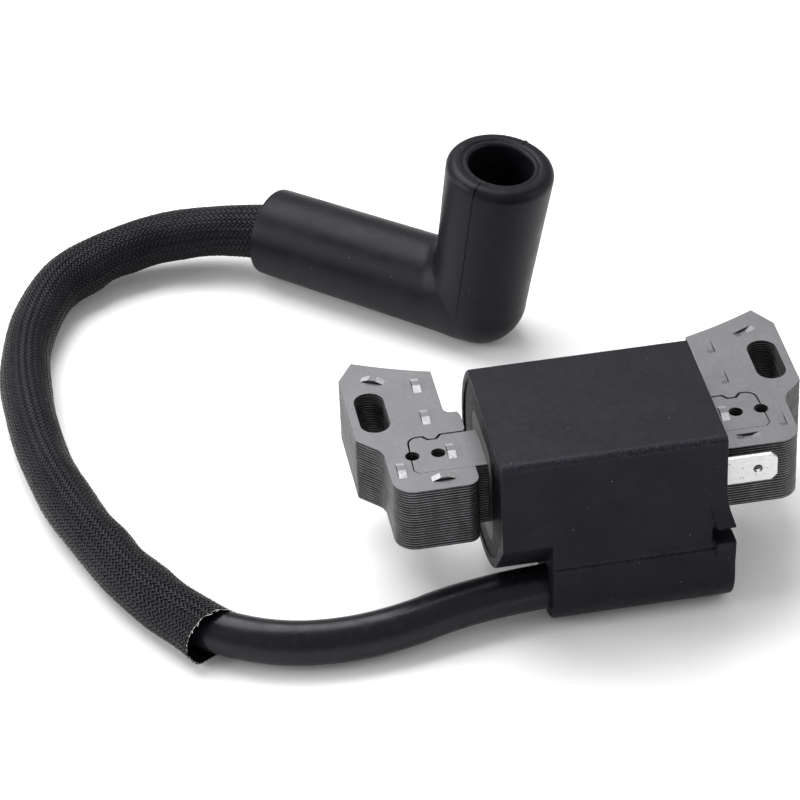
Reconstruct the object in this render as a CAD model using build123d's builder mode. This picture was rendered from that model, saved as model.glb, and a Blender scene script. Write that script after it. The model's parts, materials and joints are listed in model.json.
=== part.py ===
from build123d import *
from math import asin, atan2, cos, hypot, radians, sin, sqrt, tan
import os

# Small engine ignition coil with its spark plug lead and boot. Millimetres, +Z up.
# X runs along the core bar from the lead's side to the blade's side, +Y points at the flywheel.
# The origin is on the surface that the coil stands on, under the middle of the coil.

os.makedirs("parts", exist_ok=True)

# Laminated core: two pole pieces joined by a bar that runs through the coil
sheet_pitch = 0.47
sheet_gap = 0.02  # insulating coat between two sheets
sheet_count = 24
core_top = 24.85
core_height = sheet_pitch * sheet_count
core_bottom = core_top - core_height
flywheel_radius = 71.4
flywheel_axis_y = 85.0
pole_outer_x = 35.5
pole_tip_x = 32.8
pole_inner_x = 20.75
pole_chamfer_y = 17.3
flank_x = 31.85
pole_front_y = -13.4
pole_front_x = 18.6
arm_tip_x = 18.35
arm_back_y = 5.4
seam_gap = 0.25
tongue_end_x = 28.0
bar_front_y = -8.95
bar_back_y = 0.0
bar_y = (bar_front_y + bar_back_y) / 2
bar_z = (core_top + core_bottom) / 2
bar_half_y = (bar_back_y - bar_front_y) / 2
bar_half_z = core_height / 2
lock_x = 23.85  # the nose that keys the pole piece into the bar
lock_half = 1.55
lock_depth = 0.95
pin_hole_radius = 1.1
end_hole_x = 27.6
tongue_hole_x = 23.55

# Mounting slots, elongated towards the flywheel so that the air gap can be set
slot_x = 31.75
slot_y = 7.9
slot_width = 4.7
slot_length = 10.4

# Interlocks: bent lances that hold the sheets together, as x, y and angle
lance_length = 3.8
lance_flat = 1.2  # the flat in its middle
lance_width = 1.25
lance_rise = 0.55  # how far a ridge stands out
lance_depth = 0.42  # how deep a valley is
pole_lances = [(30.2, 16.1, 26), (23.8, 13.4, 90), (23.9, 4.95, 90), (29.95, -7.7, 90), (23.9, -10.85, 0)]
bar_lance_x = 21.6

# Case: a round shell with a flat top and a square front that holds the module
case_left = -17.0
case_right = 17.9
case_top = 33.25
case_front = -21.6
case_round_y = -4.6
case_round_z = 20.6
case_round_radius = 15.5
front_wall_bottom = 17.2
wall = 1.5
end_wall = 1.6
potting_recess = 0.25

# Tower: the tube along the bottom of the front that takes the lead
tower_left = -9.3
tower_right = 19.4
tower_radius = 6.25
tower_bulge = 0.35  # how far it stands out of the case's front
tower_shoulder_z = 12.4  # the top of the part that stands out
tower_end_fillet = 0.45
tower_y = case_front - tower_bulge + tower_radius
tower_z = tower_radius
tower_back = tower_y + tower_radius
end_cut_height = 6.0  # the tower's block is cut back beside the case's end, under the core
tower_bore_end = 1.5
spike_base = 1.6
spike_length = 6.0
spike_point = 0.6
lead_y = -16.2  # the bore is a little nearer the front and the bottom, so that the lead clears the shell
lead_z = 5.45

# Windings, each given by how far it reaches outside the bar
bobbin_clearance = 0.12
primary_bobbin_wall = 0.9
primary_copper = 1.5
secondary_bobbin_wall = 0.8
secondary_copper = 1.4
flange_left = case_left + potting_recess
flange_right = case_right - end_wall
flange_thickness = 1.0
secondary_left = -14.5
secondary_right = 13.8
section_count = 5
divider = 0.6

# Ignition module on the front of the windings
board_left = -16.6
board_right = 13.5
board_back = -16.5
board_thickness = 1.0
board_bottom = 19.5
board_top = 30.5
power_transistor_size = (6.6, 6.1, 2.2)  # width, height and depth of each block on the board
trigger_transistor_size = (2.9, 1.6, 1.1)
trigger_capacitor_size = (3.2, 2.5, 1.6)
chip_resistor_size = (2.0, 1.25, 0.6)
chip_resistor_places = (-1.0, 2.5, 6.0, 9.5)
chip_resistor_z = 22.5
primary_wire_radius = 0.35
primary_wire_heights = (21.0, 27.0)

# Kill terminal blade
blade_width = 4.8
blade_thickness = 0.8
blade_tip_x = 27.1
blade_root_x = 11.0
blade_z = 22.6
blade_hole_x = 24.0
blade_hole_radius = 0.75
blade_chamfer = 0.9

# Lead, sleeve and boot
lead_radius = 3.5
conductor_radius = 1.0
conductor_play = 0.02  # between the conductor and the insulation's bore
sleeve_radius = 4.15
sleeve_bore = 3.6
prong_radius = 0.9
prong_reach = 22.0  # how far the prong reaches up the arm, into the lead's end
prong_play = 0.05
elbow_x = -4.6
elbow_y = 59.5
elbow_radius = 8.1
arm_radius = 7.65
arm_z = 7.7
arm_length = 42.2
arm_angle = 138.5  # direction of the arm seen from above, away from the elbow
arm_bore = 3.58
arm_bell = 5.4  # the arm's bore is wider at its mouth, where the lead bends
arm_bell_depth = 10.0
arm_fillet = 0.6
rim_radius = 9.2
barrel_height = 28.1
barrel_lean = (0.134, -0.102)  # how far the barrel leans along X and Y for each unit up
rim_fillet = 1.6
socket_radius = 5.5
socket_bottom = 9.5  # how far up the barrel's axis the socket's floor is
lip_radius = 6.05  # the rounded lip around the socket's mouth
lip_thickness = 0.6
lip_groove_radius = 6.7
lip_depth = 0.7
clip_cavity_radius = 4.3
clip_cavity_foot = 0.5  # how far up the barrel's axis it starts
cup_play = 0.1
cup_wall = 0.7
cup_floor = 0.8
cup_slit = 0.9
cup_slit_foot = 2.5
lead_depth = 20.5  # how far the lead goes into the arm


def beyond(start, direction, distance):
    """The point at this distance from start."""
    return start + direction * distance


arm_direction = Vector(cos(radians(arm_angle)), sin(radians(arm_angle)), 0)
elbow = Vector(elbow_x, elbow_y, elbow_radius)
arm_origin = Vector(elbow_x, elbow_y, arm_z)
arm_mouth = beyond(arm_origin, arm_direction, arm_length)
barrel_direction = Vector(barrel_lean[0], barrel_lean[1], 1).normalized()


# ---------------------------------------------------------------- core

def sheet_levels():
    return [core_bottom + i * sheet_pitch for i in range(sheet_count)]


def flywheel_y(x):
    """How far back the pole face is at x: it follows the flywheel's rim."""
    return flywheel_axis_y - sqrt(flywheel_radius**2 - x**2)


def nearest_corner(x, y):
    """The corner of the sketch being drawn that is nearest to this point."""
    return vertices().sort_by_distance((x, y, 0))[0]


with BuildSketch() as tongue:  # the right half of the bar
    with BuildLine():
        Polyline(
            (0, bar_front_y),
            (tongue_end_x - 0.7, bar_front_y),
            (tongue_end_x, bar_front_y + 0.8),
            (end_hole_x - 0.1, bar_back_y),
            (lock_x + lock_half, bar_back_y),
            (lock_x + 0.5 * lock_half, bar_back_y - lock_depth),
            (lock_x - 0.5 * lock_half, bar_back_y - lock_depth),
            (lock_x - lock_half, bar_back_y),
            (0, bar_back_y),
            close=True,
        )
    make_face()
    fillet(nearest_corner(end_hole_x - 0.1, bar_back_y), 1.5)
    fillet(nearest_corner(lock_x + 0.5 * lock_half, bar_back_y - lock_depth), 0.4)
    fillet(nearest_corner(lock_x - 0.5 * lock_half, bar_back_y - lock_depth), 0.4)

with BuildSketch() as bar_outline:
    add(tongue.sketch)
    mirror(tongue.sketch, about=Plane.YZ)
    with Locations((end_hole_x, bar_y), (-end_hole_x, bar_y), (tongue_hole_x, bar_y), (-tongue_hole_x, bar_y)):
        Circle(pin_hole_radius, mode=Mode.SUBTRACT)

arm_front_y = bar_back_y + seam_gap
with BuildSketch() as pole_outline:  # the right pole piece
    with BuildLine():
        seam = Polyline(
            (arm_tip_x + 0.4, arm_front_y),
            (lock_x - lock_half + seam_gap, arm_front_y),
            (lock_x - 0.5 * lock_half + seam_gap, arm_front_y - lock_depth),
            (lock_x + 0.5 * lock_half - seam_gap, arm_front_y - lock_depth),
            (lock_x + lock_half - seam_gap, arm_front_y),
            (end_hole_x + seam_gap - 0.1, arm_front_y),
            (tongue_end_x + 0.1, bar_front_y + 0.8),
            (tongue_end_x - 0.6, bar_front_y),
            (pole_front_x, bar_front_y),
        )
        flank = Polyline(
            seam @ 1,
            (pole_front_x, pole_front_y),
            (flank_x, pole_front_y),
            (flank_x, -2.4),
            (pole_outer_x, 1.4),
            (pole_outer_x, pole_chamfer_y),
            (pole_tip_x, flywheel_y(pole_tip_x)),
        )
        mid_x = (pole_tip_x + pole_inner_x) / 2
        face = ThreePointArc(flank @ 1, (mid_x, flywheel_y(mid_x)), (pole_inner_x, flywheel_y(pole_inner_x)))
        Polyline(
            face @ 1,
            (pole_inner_x, arm_back_y),
            (arm_tip_x + 0.35, arm_back_y),
            (arm_tip_x, arm_back_y - 1.1),
            (arm_tip_x, arm_front_y + 0.7),
            seam @ 0,
        )
    make_face()
    fillet(nearest_corner(end_hole_x + seam_gap - 0.1, arm_front_y), 1.7)
    fillet(nearest_corner(pole_front_x, pole_front_y), 2.0)
    fillet(nearest_corner(flank_x, pole_front_y), 3.4)
    fillet(nearest_corner(flank_x, -2.4), 3.0)
    fillet(nearest_corner(pole_outer_x, 1.4), 0.8)
    fillet(nearest_corner(pole_inner_x, arm_back_y), 1.2)
    fillet(nearest_corner(lock_x + 0.5 * lock_half - seam_gap, arm_front_y - lock_depth), 0.3)
    fillet(nearest_corner(lock_x - 0.5 * lock_half + seam_gap, arm_front_y - lock_depth), 0.3)
    with Locations((end_hole_x, bar_y)):
        Circle(pin_hole_radius, mode=Mode.SUBTRACT)
    with Locations((slot_x, slot_y)):
        SlotOverall(slot_length, slot_width, rotation=90, mode=Mode.SUBTRACT)


def lance(x, y, angle, level, rise):
    """A bent ridge, or with a negative rise the valley that it leaves, in the sheet's face at this level."""
    direction = (cos(radians(angle)), sin(radians(angle)), 0)
    across = (-direction[1], direction[0], 0)
    side = Plane(origin=(x, y, level), x_dir=direction, z_dir=across)
    up = side.y_dir.Z * rise
    with BuildPart() as bend:
        with BuildSketch(side):
            with BuildLine():
                Polyline(
                    (-lance_length / 2, 0),
                    (lance_length / 2, 0),
                    (lance_flat / 2, up),
                    (-lance_flat / 2, up),
                    close=True,
                )
            make_face()
        extrude(amount=lance_width / 2, both=True)
    return bend.part


def sheets(outline, levels):
    """Sheets of one stamping, one above the other, each a separate solid."""
    with BuildPart() as stack:
        for level in levels:
            with BuildSketch(Plane.XY.offset(level)):
                add(outline.sketch)
        extrude(amount=sheet_pitch - sheet_gap)
    return stack.part


def laminations(outline, lances, ridges_on_top):
    """The whole stack. Its lances stand out of its top face and leave valleys below, or the other way round."""
    levels = sheet_levels()
    with BuildPart() as top_sheet:
        add(sheets(outline, levels[-1:]))
        for x, y, angle in lances:
            if ridges_on_top:
                add(lance(x, y, angle, core_top - sheet_gap, lance_rise))
            else:
                add(lance(x, y, angle, core_top - sheet_gap, -lance_depth), mode=Mode.SUBTRACT)
    with BuildPart() as bottom_sheet:
        add(sheets(outline, levels[:1]))
        for x, y, angle in lances:
            if ridges_on_top:
                add(lance(x, y, angle, core_bottom, lance_depth), mode=Mode.SUBTRACT)
            else:
                add(lance(x, y, angle, core_bottom, -lance_rise))
    with BuildPart() as stack:
        add(sheets(outline, levels[1:-1]))
        add(top_sheet.part)
        add(bottom_sheet.part)
    return stack.part


bar_lances = [(bar_lance_x, bar_y, 90), (-bar_lance_x, bar_y, 90)]

# The left stack is the right one turned over, so that its ridges are on top.
with BuildPart() as right_pole_laminations:
    add(laminations(pole_outline, pole_lances, ridges_on_top=False))

with BuildPart() as left_pole_laminations:
    mirror(laminations(pole_outline, pole_lances, ridges_on_top=True), about=Plane.YZ)

with BuildPart() as core_bar_laminations:
    add(laminations(bar_outline, bar_lances, ridges_on_top=True))


# ---------------------------------------------------------------- windings

def block(left, right, reach, corner=0.2):
    """A rounded block that reaches this far outside the bar's faces."""
    with BuildPart() as solid:
        with BuildSketch(Plane.YZ.offset(left)):
            with Locations((bar_y, bar_z)):
                RectangleRounded(2 * (bar_half_y + reach), 2 * (bar_half_z + reach), corner + reach)
        extrude(amount=right - left)
    return solid.part


primary_inner = bobbin_clearance
primary_tube = primary_inner + primary_bobbin_wall
primary_outer = primary_tube + primary_copper
secondary_inner = primary_outer + 0.1
secondary_tube = secondary_inner + secondary_bobbin_wall
secondary_outer = secondary_tube + secondary_copper
divider_outer = secondary_outer + 0.3
ground_pin_x = flange_left + 0.55
ground_pin_radius = 0.35


def rod(start, end, radius):
    """A round wire or pin from one point to another."""
    axis = Vector(*end) - Vector(*start)
    with BuildPart() as wire:
        with BuildSketch(Plane(origin=start, z_dir=axis)):
            Circle(radius)
        extrude(amount=axis.length)
    return wire.part


ground_pin_ends = ((ground_pin_x, board_back, bar_z + 2.5), (ground_pin_x, bar_front_y, bar_z + 2.5))
with BuildPart() as ground_pin:
    add(rod(*ground_pin_ends, ground_pin_radius))

with BuildPart() as primary_bobbin:
    add(block(flange_left, flange_right, primary_tube))
    add(block(flange_left, flange_left + flange_thickness, primary_outer + 0.5))
    add(block(flange_right - flange_thickness, flange_right, primary_outer + 0.5))
    add(block(flange_left, flange_right, primary_inner), mode=Mode.SUBTRACT)
    add(ground_pin.part, mode=Mode.SUBTRACT)

with BuildPart() as primary_winding:
    add(block(flange_left + flange_thickness, flange_right - flange_thickness, primary_outer))
    add(block(flange_left, flange_right, primary_tube), mode=Mode.SUBTRACT)

section_pitch = (secondary_right - secondary_left - divider) / section_count
section_starts = [secondary_left + divider + i * section_pitch for i in range(section_count)]
with BuildPart() as secondary_bobbin:
    add(block(secondary_left, secondary_right, divider_outer))
    for start in section_starts:
        add(block(start, start + section_pitch - divider, divider_outer + 1), mode=Mode.SUBTRACT)
    add(block(secondary_left, secondary_right, secondary_tube))
    add(block(secondary_left, secondary_right, secondary_inner), mode=Mode.SUBTRACT)

with BuildPart() as secondary_winding:
    for start in section_starts:
        add(block(start, start + section_pitch - divider, secondary_outer))
    add(block(secondary_left, secondary_right, secondary_tube), mode=Mode.SUBTRACT)

primary_wire_x = (flange_left + flange_thickness + secondary_left) / 2
with BuildPart() as primary_wires:
    for height in primary_wire_heights:
        wire_end = (primary_wire_x, bar_y - bar_half_y - primary_outer, height)
        add(rod((primary_wire_x, board_back, height), wire_end, primary_wire_radius))


# ---------------------------------------------------------------- module

board_middle_z = (board_top + board_bottom) / 2


def on_board(x, z, width, height, depth, front=True):
    """A block soldered to the board's front or back face."""
    face_y = board_back - board_thickness if front else board_back
    with BuildPart() as block:
        with BuildSketch(Plane(origin=(x, face_y, z), x_dir=(1, 0, 0), z_dir=(0, -1 if front else 1, 0))):
            Rectangle(width, height)
        extrude(amount=depth)
    return block.part


with BuildPart() as ignition_circuit_board:
    with BuildSketch(Plane.XZ.offset(-board_back)):
        with Locations(((board_left + board_right) / 2, board_middle_z)):
            Rectangle(board_right - board_left, board_top - board_bottom)
    extrude(amount=board_thickness)

with BuildPart() as power_transistor:
    add(on_board(-6.0, 26.0, *power_transistor_size))

with BuildPart() as trigger_transistor:
    add(on_board(1.5, 27.5, *trigger_transistor_size))

with BuildPart() as trigger_capacitor:
    add(on_board(8.0, 27.0, *trigger_capacitor_size))

with BuildPart() as chip_resistors:
    for x in chip_resistor_places:
        add(on_board(x, chip_resistor_z, *chip_resistor_size))


# ---------------------------------------------------------------- kill terminal

with BuildPart() as kill_terminal:
    with BuildSketch(Plane.XZ.offset(-board_back)):
        with Locations(((blade_root_x + blade_tip_x) / 2, blade_z)):
            Rectangle(blade_tip_x - blade_root_x, blade_width)
    extrude(amount=-blade_thickness)
    tip_edges = kill_terminal.edges().filter_by(Axis.Y).group_by(Axis.X)[-1]
    chamfer(tip_edges, blade_chamfer)
    with Locations(Plane.XZ.offset(-board_back)):
        with Locations((blade_hole_x, blade_z)):
            Hole(blade_hole_radius)


# ---------------------------------------------------------------- case and potting

def shell_profile(plane, inset):
    """The case's section: round at the back and below, flat on top, square in front."""
    radius = case_round_radius - inset
    top = case_top - inset
    front = case_front + inset
    bottom = front_wall_bottom + inset
    reach = hypot(case_round_y - front, case_round_z - bottom)
    swing = atan2(case_round_z - bottom, case_round_y - front) - asin(radius / reach)
    tangent = sqrt(reach**2 - radius**2)
    top_back_y = case_round_y + sqrt(radius**2 - (top - case_round_z) ** 2)
    with BuildSketch(plane) as profile:
        with Locations((case_round_y, case_round_z)):
            Circle(radius)
        with Locations((case_round_y, top + radius / 2)):
            Rectangle(3 * radius, radius, mode=Mode.SUBTRACT)
        with BuildLine():
            Polyline(
                (top_back_y, top),
                (front, top),
                (front, bottom),
                (front + tangent * cos(swing), bottom + tangent * sin(swing)),
                (case_round_y, case_round_z),
                close=True,
            )
        make_face()
    return profile.sketch


# The wire clip: two small hooks at the right end of the front, with a gap between them for the kill wire
hook_top = 22.6
hook_bottom = 16.4
hook_left = 14.9
hook_right = 19.3
hook_slant = 1.4  # how far its left edge runs to the right on its way down
hook_step = 3.0  # the height over which it widens past the case's end
hook_flare = 0.8
hook_depth = 2.2  # how deep its root goes into the front wall
clip_gap_bottom = 13.7
clip_gap_left = 15.7
lower_hook_height = 3.6
lower_hook_rise = 0.75
with BuildPart() as wire_hook:
    with BuildSketch(Plane.YZ.offset(hook_left - 1)):
        with BuildLine():
            hollow = ThreePointArc(
                (case_front - hook_flare, hook_bottom),
                (case_front - 0.3 * hook_flare, (hook_bottom + hook_top) / 2),
                (case_front, hook_top),
            )
            Polyline(
                hollow @ 1,
                (case_front + hook_depth, hook_top),
                (case_front + hook_depth, hook_bottom),
                hollow @ 0,
            )
        make_face()
    extrude(amount=hook_right - hook_left + 2)
    with BuildSketch(Plane.XZ.offset(-case_front - 4)):
        with BuildLine():
            Polyline(
                (hook_left, hook_top),
                (hook_left + hook_slant, hook_bottom),
                (hook_right, hook_bottom),
                (case_right + 0.5, hook_bottom + hook_step),
                (case_right, hook_top - 1.0),
                (case_right, hook_top),
                close=True,
            )
        make_face()
    extrude(amount=8, mode=Mode.INTERSECT)

with BuildPart() as lower_hook:  # a wedge that runs out downwards
    with BuildSketch(Plane.YZ.offset(clip_gap_left + 0.5)):
        with BuildLine():
            Polyline(
                (case_front - lower_hook_rise, clip_gap_bottom),
                (case_front + hook_depth, clip_gap_bottom),
                (case_front + hook_depth, clip_gap_bottom - lower_hook_height),
                (case_front - tower_bulge, clip_gap_bottom - lower_hook_height),
                close=True,
            )
        make_face()
    extrude(amount=hook_right - clip_gap_left - 0.5)

hv_wire_x = tower_bore_end + spike_base / 2
hv_wire_start = (hv_wire_x, lead_y, lead_z)
hv_wire_end = (hv_wire_x, -7.6, bar_z - bar_half_z - secondary_outer - 0.9)
hv_wire_radius = 0.6

with BuildPart() as hv_wire:
    add(rod(hv_wire_start, hv_wire_end, hv_wire_radius))

with BuildPart() as hv_spike:  # the base disc and the spike that pierces the lead's core
    with BuildSketch(Plane.YZ.offset(tower_bore_end)):
        with Locations((lead_y, lead_z)):
            Circle(lead_radius)
    extrude(amount=spike_base)
    with BuildSketch(Plane.YZ.offset(tower_bore_end)):
        with Locations((lead_y, lead_z)):
            Circle(prong_radius)
    extrude(amount=-spike_length)
    chamfer(hv_spike.edges().group_by(Axis.X)[0], spike_point)
    add(hv_wire.part, mode=Mode.SUBTRACT)

tower_top = front_wall_bottom + 1
with BuildPart() as tower:
    with BuildSketch(Plane.YZ.offset(tower_left)):
        with Locations((tower_y, tower_z)):
            Circle(tower_radius)
        with Locations((tower_y, (tower_z + tower_shoulder_z) / 2)):
            Rectangle(2 * tower_radius, tower_shoulder_z - tower_z)
    extrude(amount=tower_right - tower_left)
    end_edges = tower.edges().group_by(Axis.X)[0] + tower.edges().group_by(Axis.X)[-1]
    fillet(end_edges.filter_by_position(Axis.Z, -1, tower_shoulder_z - 1), tower_end_fillet)
    shoulder = tower.edges().filter_by(Axis.X).sort_by_distance((0, case_front - tower_bulge, tower_shoulder_z))[0]
    fillet(shoulder, 0.9 * tower_bulge)
    with BuildSketch(Plane.YZ.offset(tower_left)):
        with Locations((tower_y + tower_bulge, (tower_z + tower_top) / 2)):
            Rectangle(2 * tower_radius, tower_top - tower_z)
    extrude(amount=tower_right - tower_left)

with BuildPart() as coil_case:
    extrude(shell_profile(Plane.YZ.offset(case_left), 0), amount=case_right - case_left)
    long_edges = coil_case.edges().filter_by(Axis.X)
    fillet(long_edges.sort_by_distance((0, case_front, case_top))[0], 0.9)
    fillet(coil_case.edges().filter_by(Axis.X).sort_by_distance((0, 4.4, case_top))[0], 1.2)
    fillet(coil_case.edges().filter_by(Axis.X).sort_by_distance((0, case_front, front_wall_bottom))[0], 0.5)
    add(tower.part)
    with BuildSketch(Plane.XZ.offset(-case_front + 1)):  # the tower's block is cut back beside the case's end
        with Locations(((case_right + tower_right + 1) / 2, core_bottom + end_cut_height / 2 - seam_gap)):
            Rectangle(tower_right + 1 - case_right, end_cut_height)
    extrude(amount=-(tower_back - case_front + 2), mode=Mode.SUBTRACT)
    add(wire_hook.part)
    add(lower_hook.part)
    with BuildSketch(Plane.XZ.offset(-case_front + 2)):  # the gap between the two hooks
        with Locations(((clip_gap_left + tower_right + 1) / 2, (hook_bottom + clip_gap_bottom) / 2)):
            Rectangle(tower_right + 1 - clip_gap_left, hook_bottom - clip_gap_bottom)
    extrude(amount=-2 - hook_depth - tower_bulge, mode=Mode.SUBTRACT)
    extrude(shell_profile(Plane.YZ.offset(case_left), wall), amount=flange_right - case_left, mode=Mode.SUBTRACT)
    with BuildSketch(Plane.YZ.offset(flange_right)):
        with Locations((bar_y, bar_z)):
            Rectangle(2 * (bar_half_y + bobbin_clearance), 2 * (bar_half_z + bobbin_clearance))
        with Locations((board_back + blade_thickness / 2, blade_z)):
            Rectangle(blade_thickness, blade_width)
    extrude(amount=end_wall, mode=Mode.SUBTRACT)
    with BuildSketch(Plane.YZ.offset(tower_left)):
        with Locations((lead_y, lead_z)):
            Circle(lead_radius)
    extrude(amount=tower_bore_end + spike_base - tower_left, mode=Mode.SUBTRACT)
    add(hv_wire.part, mode=Mode.SUBTRACT)

contents = [
    primary_bobbin,
    primary_winding,
    secondary_bobbin,
    secondary_winding,
    ignition_circuit_board,
    power_transistor,
    trigger_transistor,
    trigger_capacitor,
    chip_resistors,
    primary_wires,
    ground_pin,
    kill_terminal,
    hv_wire,
]
with BuildPart() as potting_compound:
    extrude(shell_profile(Plane.YZ.offset(flange_left), wall), amount=flange_right - flange_left)
    with BuildSketch(Plane.YZ.offset(flange_left)):
        with Locations((bar_y, bar_z)):
            Rectangle(2 * (bar_half_y + primary_tube), 2 * (bar_half_z + primary_tube))
    extrude(amount=flange_right - flange_left, mode=Mode.SUBTRACT)
    for piece in contents:
        add(piece.part, mode=Mode.SUBTRACT)


# ---------------------------------------------------------------- boot

prong_root = beyond(elbow, barrel_direction, clip_cavity_foot + cup_floor / 2)
with BuildPart() as plug_terminal:  # a sprung cup for the plug's tip, with a prong into the lead
    cup_plane = Plane(origin=beyond(elbow, barrel_direction, clip_cavity_foot + cup_play), z_dir=barrel_direction)
    with BuildSketch(cup_plane):
        Circle(clip_cavity_radius - cup_play)
    extrude(amount=socket_bottom - clip_cavity_foot - 4 * cup_play)
    with BuildSketch(cup_plane.offset(cup_floor)):
        Circle(clip_cavity_radius - cup_play - cup_wall)
    extrude(amount=barrel_height, mode=Mode.SUBTRACT)
    with BuildSketch(cup_plane.offset(cup_slit_foot)):
        Rectangle(cup_slit, 3 * clip_cavity_radius)
    extrude(amount=barrel_height, mode=Mode.SUBTRACT)
    add(rod(prong_root, arm_origin, prong_radius))
    add(rod(arm_origin, beyond(arm_origin, arm_direction, prong_reach), prong_radius))

with BuildPart() as spark_plug_boot:
    barrel_foot = Plane(origin=elbow, z_dir=barrel_direction)
    with BuildSketch(barrel_foot):
        Circle(elbow_radius)
    with BuildSketch(barrel_foot.offset(barrel_height)):
        Circle(rim_radius)
    loft()
    fillet(spark_plug_boot.faces().sort_by(Axis.Z)[-1].edges(), rim_fillet)
    with Locations(elbow):
        Sphere(elbow_radius)
    arm_plane = Plane(origin=arm_origin, z_dir=arm_direction)
    with BuildSketch(arm_plane):
        Circle(arm_radius)
    extrude(amount=arm_length)
    fillet(spark_plug_boot.faces().filter_by(GeomType.PLANE).sort_by(Axis.X)[0].edges(), arm_fillet)
    with BuildSketch(barrel_foot.offset(barrel_height - lip_depth)):
        Circle(lip_groove_radius)
    extrude(amount=lip_depth + 1, mode=Mode.SUBTRACT)
    with Locations(barrel_foot.offset(barrel_height - lip_depth)):
        Torus(lip_radius, lip_thickness)
    with BuildSketch(barrel_foot.offset(socket_bottom)):
        Circle(socket_radius)
    extrude(amount=barrel_height, mode=Mode.SUBTRACT)
    with BuildSketch(barrel_foot.offset(clip_cavity_foot)):
        Circle(clip_cavity_radius)
    extrude(amount=barrel_height, mode=Mode.SUBTRACT)
    with BuildSketch(arm_plane.offset(arm_length - lead_depth - 0.5)):
        Circle(arm_bore)
    extrude(amount=lead_depth + 1, mode=Mode.SUBTRACT)
    with BuildSketch(arm_plane.offset(arm_length - arm_bell_depth)):
        Circle(arm_bell)
    extrude(amount=arm_bell_depth + 1, mode=Mode.SUBTRACT)
    add(rod(prong_root, arm_origin, prong_radius + prong_play), mode=Mode.SUBTRACT)
    add(rod(arm_origin, arm_mouth, prong_radius + prong_play), mode=Mode.SUBTRACT)
    with Locations(arm_origin):
        Sphere(prong_radius + prong_play, mode=Mode.SUBTRACT)


# ---------------------------------------------------------------- lead

lead_inner_end = Vector(tower_bore_end, lead_y, lead_z)
lead_outer_end = beyond(arm_mouth, arm_direction, -lead_depth)
sleeve_z = sleeve_radius + 0.1
route = [
    lead_inner_end,
    Vector(-18.2, lead_y, lead_z),
    Vector(-37.3, -21.2, 3.8),
    Vector(-54.8, -19.7, sleeve_z),
    Vector(-69.0, -7.5, sleeve_z),
    Vector(-78.8, 17.2, sleeve_z),
    Vector(-83.7, 41.3, sleeve_z),
    Vector(-82.8, 69.0, sleeve_z),
    Vector(-70.6, 90.6, 5.2),
    beyond(arm_mouth, arm_direction, 6.5),
    lead_outer_end,
]
sleeve_corner = 4  # the route's corner that the sleeve starts at
sleeve_lead_in = 10.5  # how far before that corner


def corner_radii(points):
    """Each bend's radius, as large as its two runs allow."""
    radii = []
    for before, corner, after in zip(points, points[1:], points[2:]):
        run_in = corner - before
        run_out = after - corner
        turn = radians(run_in.get_angle(run_out))
        radii.append(0.45 * min(run_in.length, run_out.length) / tan(turn / 2))
    return radii


bend_radii = corner_radii(route)
print("bend radii", [round(radius, 1) for radius in bend_radii])
print("runs", [round((b - a).length, 1) for a, b in zip(route, route[1:])])


def tube(points, radii, outer, inner):
    """A round tube along straight runs and their bends. A rod if inner is 0."""
    with BuildPart() as swept:
        with BuildLine():
            path = FilletPolyline(*points, radius=radii)
        with BuildSketch(Plane(origin=path @ 0, z_dir=path % 0)):
            Circle(outer)
            if inner:
                Circle(inner, mode=Mode.SUBTRACT)
        sweep(path=path)
    print("tube", round(path.length, 1))
    return swept.part


with BuildPart() as lead_insulation:
    add(tube(route, bend_radii, lead_radius, conductor_radius))

# The conductor stops short of both ends, where the spike and the prong go into the core.
conductor_route = [
    Vector(tower_bore_end - spike_length, lead_y, lead_z),
    *route[1:-1],
    beyond(arm_origin, arm_direction, prong_reach),
]
with BuildPart() as lead_conductor:
    add(tube(conductor_route, bend_radii, conductor_radius - conductor_play, 0))

# The sleeve is a tube around the lead's later bends, cut off just outside the boot's mouth.
sleeve_first_run = (route[sleeve_corner] - route[sleeve_corner - 1]).normalized()
sleeve_route = [beyond(route[sleeve_corner], sleeve_first_run, -sleeve_lead_in), *route[sleeve_corner:]]
mouth_plane = Plane(origin=beyond(arm_mouth, arm_direction, 0.4), z_dir=arm_direction)
with BuildPart() as braided_sleeve:
    add(tube(sleeve_route, bend_radii[sleeve_corner - 1 :], sleeve_radius, sleeve_bore))
    with BuildSketch(mouth_plane):
        Circle(3 * sleeve_radius)
    extrude(amount=-lead_depth - 5, mode=Mode.SUBTRACT)

# ---------------------------------------------------------------- export

pieces = {
    "left_pole_laminations": left_pole_laminations,
    "right_pole_laminations": right_pole_laminations,
    "core_bar_laminations": core_bar_laminations,
    "primary_bobbin": primary_bobbin,
    "primary_winding": primary_winding,
    "secondary_bobbin": secondary_bobbin,
    "secondary_winding": secondary_winding,
    "primary_wires": primary_wires,
    "ground_pin": ground_pin,
    "ignition_circuit_board": ignition_circuit_board,
    "power_transistor": power_transistor,
    "trigger_transistor": trigger_transistor,
    "trigger_capacitor": trigger_capacitor,
    "chip_resistors": chip_resistors,
    "kill_terminal": kill_terminal,
    "hv_wire": hv_wire,
    "hv_spike": hv_spike,
    "coil_case": coil_case,
    "potting_compound": potting_compound,
    "plug_terminal": plug_terminal,
    "spark_plug_boot": spark_plug_boot,
    "lead_insulation": lead_insulation,
    "lead_conductor": lead_conductor,
    "braided_sleeve": braided_sleeve,
}
for name, piece in pieces.items():
    piece.part.label = name
    export_step(piece.part, f"parts/{name}.step")
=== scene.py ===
import json
import math
import random

import bmesh
import bpy
import numpy as np
from mathutils import Matrix, Vector


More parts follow.
